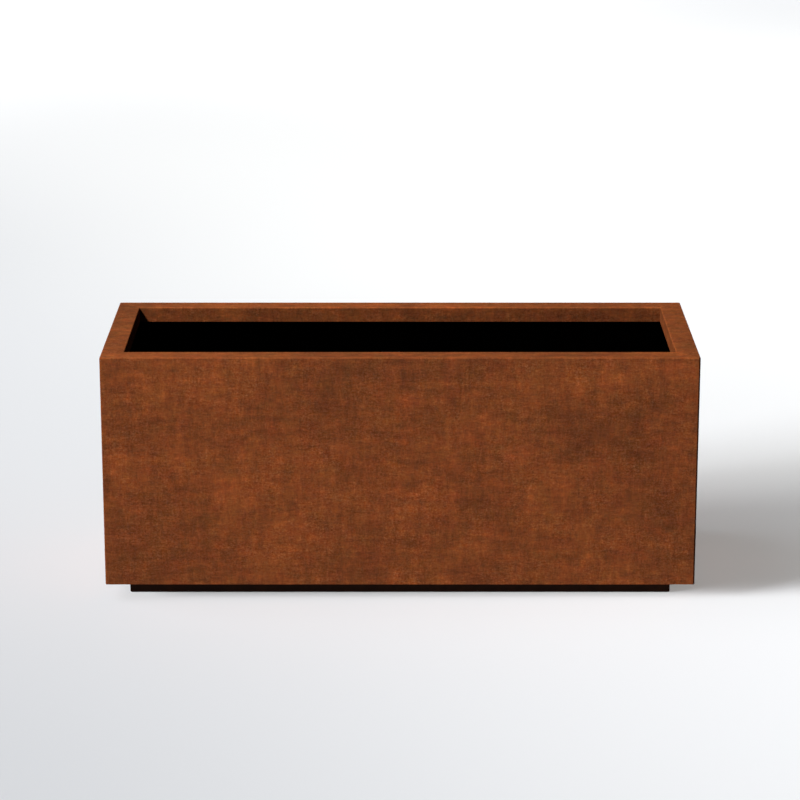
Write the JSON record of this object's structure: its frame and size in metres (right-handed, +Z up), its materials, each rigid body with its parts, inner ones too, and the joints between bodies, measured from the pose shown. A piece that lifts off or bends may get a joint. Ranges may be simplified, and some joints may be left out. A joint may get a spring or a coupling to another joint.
{
  "type": "planter box",
  "caption": "Rectangular weathering-steel trough planter with a flat inturned rim, a down-turned lip, a drained floor and a set-back tube plinth.",
  "frame": {"origin": "on the ground, under the middle of the planter", "axes": "+X along the front to the right as seen from the front, +Y from the front to the back, +Z up"},
  "size_m": [1.2, 0.46, 0.512],
  "materials": {
    "weathering_steel": "matte",
    "plinth_steel": "matte",
    "coated_steel": "matte",
    "zinc_plated_steel": "satin"
  },
  "bodies": {
    "root": {"front_panel": "weathering_steel", "back_panel": "weathering_steel", "left_end_panel": "weathering_steel", "right_end_panel": "weathering_steel", "corner_weld_front_left": "weathering_steel", "corner_weld_front_right": "weathering_steel", "corner_weld_back_left": "weathering_steel", "corner_weld_back_right": "weathering_steel", "floor_plate": "coated_steel", "floor_stitch_welds": "coated_steel", "base_front_rail": "plinth_steel", "base_back_rail": "plinth_steel", "base_left_rail": "plinth_steel", "base_right_rail": "plinth_steel", "base_left_cross_rail": "plinth_steel", "base_right_cross_rail": "plinth_steel", "front_rib": "coated_steel", "back_rib": "coated_steel", "rib_stitch_welds": "coated_steel", "cross_tie": "coated_steel", "tie_bolts": "zinc_plated_steel", "tie_washers": "zinc_plated_steel", "tie_nuts": "zinc_plated_steel", "floor_bolts": "zinc_plated_steel", "floor_washers": "zinc_plated_steel", "rivet_nuts": "zinc_plated_steel"}
  },
  "joints": []
}
